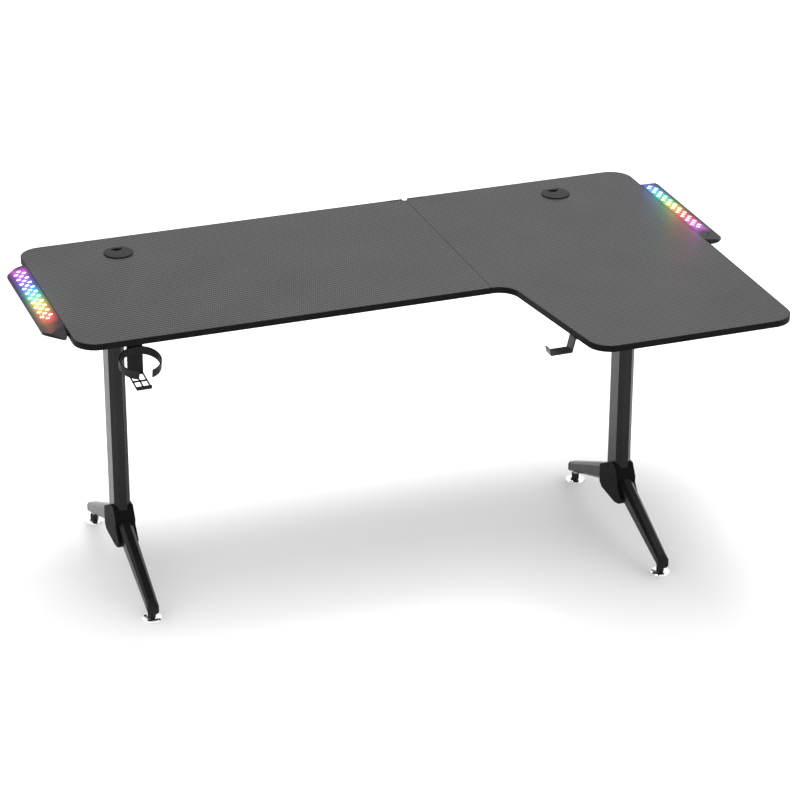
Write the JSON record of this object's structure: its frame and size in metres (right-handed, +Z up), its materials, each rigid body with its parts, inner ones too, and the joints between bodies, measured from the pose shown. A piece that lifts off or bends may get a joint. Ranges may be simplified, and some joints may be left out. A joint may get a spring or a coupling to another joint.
{
  "type": "corner desk",
  "caption": "L-shaped corner desk with a two-board top on two T legs, side light bars, cable grommets, a cup holder and a headset hook.",
  "frame": {"origin": "on the floor, below the centre of the bounding box", "axes": "+X along the rear edge to the right, +Y to the rear, +Z up"},
  "size_m": [1.706, 1, 0.7531],
  "materials": {
    "board": "raw particle board",
    "film": "fine carbon-weave embossed film",
    "edge": "satin moulded edge",
    "dowel": "fluted beech",
    "black_steel": "satin black powder coat",
    "plated_steel": "zinc plated",
    "black_plastic": "fine grained moulding",
    "hub_plastic": "semi-gloss moulding",
    "light_housing": "satin dark grey",
    "lens": "milky light lens",
    "circuit_board": "green solder mask",
    "chrome": "polished"
  },
  "bodies": {
    "desk": {"left_board": "board", "right_board": "board", "left_film": "film", "right_film": "film", "left_edge_moulding": "edge", "right_edge_moulding": "edge", "rear_moulding_clips": "edge", "joint_dowels": "dowel", "joint_plates": "black_steel", "joint_plate_screws": "plated_steel", "left_grommet_sleeve": "black_plastic", "right_grommet_sleeve": "black_plastic", "left_light_cover": "light_housing", "left_light_base": "black_plastic", "left_light_diffuser": "lens", "left_light_board": "circuit_board", "right_light_cover": "light_housing", "right_light_base": "black_plastic", "right_light_diffuser": "lens", "right_light_board": "circuit_board", "light_screws": "plated_steel", "left_arm": "black_steel", "right_arm": "black_steel", "front_rail": "black_steel", "rear_rail": "black_steel", "rail_end_plates": "black_steel", "rail_bolts": "plated_steel", "arm_screws": "plated_steel", "left_post": "black_steel", "right_post": "black_steel", "post_top_plates": "black_steel", "post_bolts": "plated_steel", "left_post_core": "black_steel", "right_post_core": "black_steel", "left_front_foot_bar": "black_steel", "left_rear_foot_bar": "black_steel", "right_front_foot_bar": "black_steel", "right_rear_foot_bar": "black_steel", "foot_bar_bolts": "plated_steel", "foot_end_caps": "black_plastic", "foot_inserts": "plated_steel", "foot_lock_nuts": "black_steel", "left_hub_cover": "hub_plastic", "right_hub_cover": "hub_plastic", "cup_holder": "black_plastic", "cup_holder_screws": "plated_steel", "headset_hook": "black_steel", "headset_hook_screws": "plated_steel"},
    "left_front_foot": {"left_front_pad": "chrome"},
    "left_rear_foot": {"left_rear_pad": "chrome"},
    "right_front_foot": {"right_front_pad": "chrome"},
    "right_rear_foot": {"right_rear_pad": "chrome"},
    "left_cap": {"left_grommet_cap": "black_plastic"},
    "right_cap": {"right_grommet_cap": "black_plastic"},
    "light_button": {"light_mode_button": "black_plastic"}
  },
  "joints": [
    {"name": "left_front_pad_height", "type": "slide", "parent": "desk", "child": "left_front_foot", "axis": [0, 0, -1], "range_m": [0, 0.012]},
    {"name": "left_rear_pad_height", "type": "slide", "parent": "desk", "child": "left_rear_foot", "axis": [0, 0, -1], "range_m": [0, 0.012]},
    {"name": "right_front_pad_height", "type": "slide", "parent": "desk", "child": "right_front_foot", "axis": [0, 0, -1], "range_m": [0, 0.012]},
    {"name": "right_rear_pad_height", "type": "slide", "parent": "desk", "child": "right_rear_foot", "axis": [0, 0, -1], "range_m": [0, 0.012]},
    {"name": "left_cap_turn", "type": "hinge", "parent": "desk", "child": "left_cap", "pos_m": [-0.571, 0.4, 0.75], "axis": [0, 0, 1], "continuous": true},
    {"name": "right_cap_turn", "type": "hinge", "parent": "desk", "child": "right_cap", "pos_m": [0.571, 0.4, 0.75], "axis": [0, 0, 1], "continuous": true},
    {"name": "light_button_press", "type": "slide", "parent": "desk", "child": "light_button", "axis": [0, 0, -1], "range_m": [0, 0.001], "stiffness_N_per_m": 800, "springref_m": -0.0005}
  ]
}
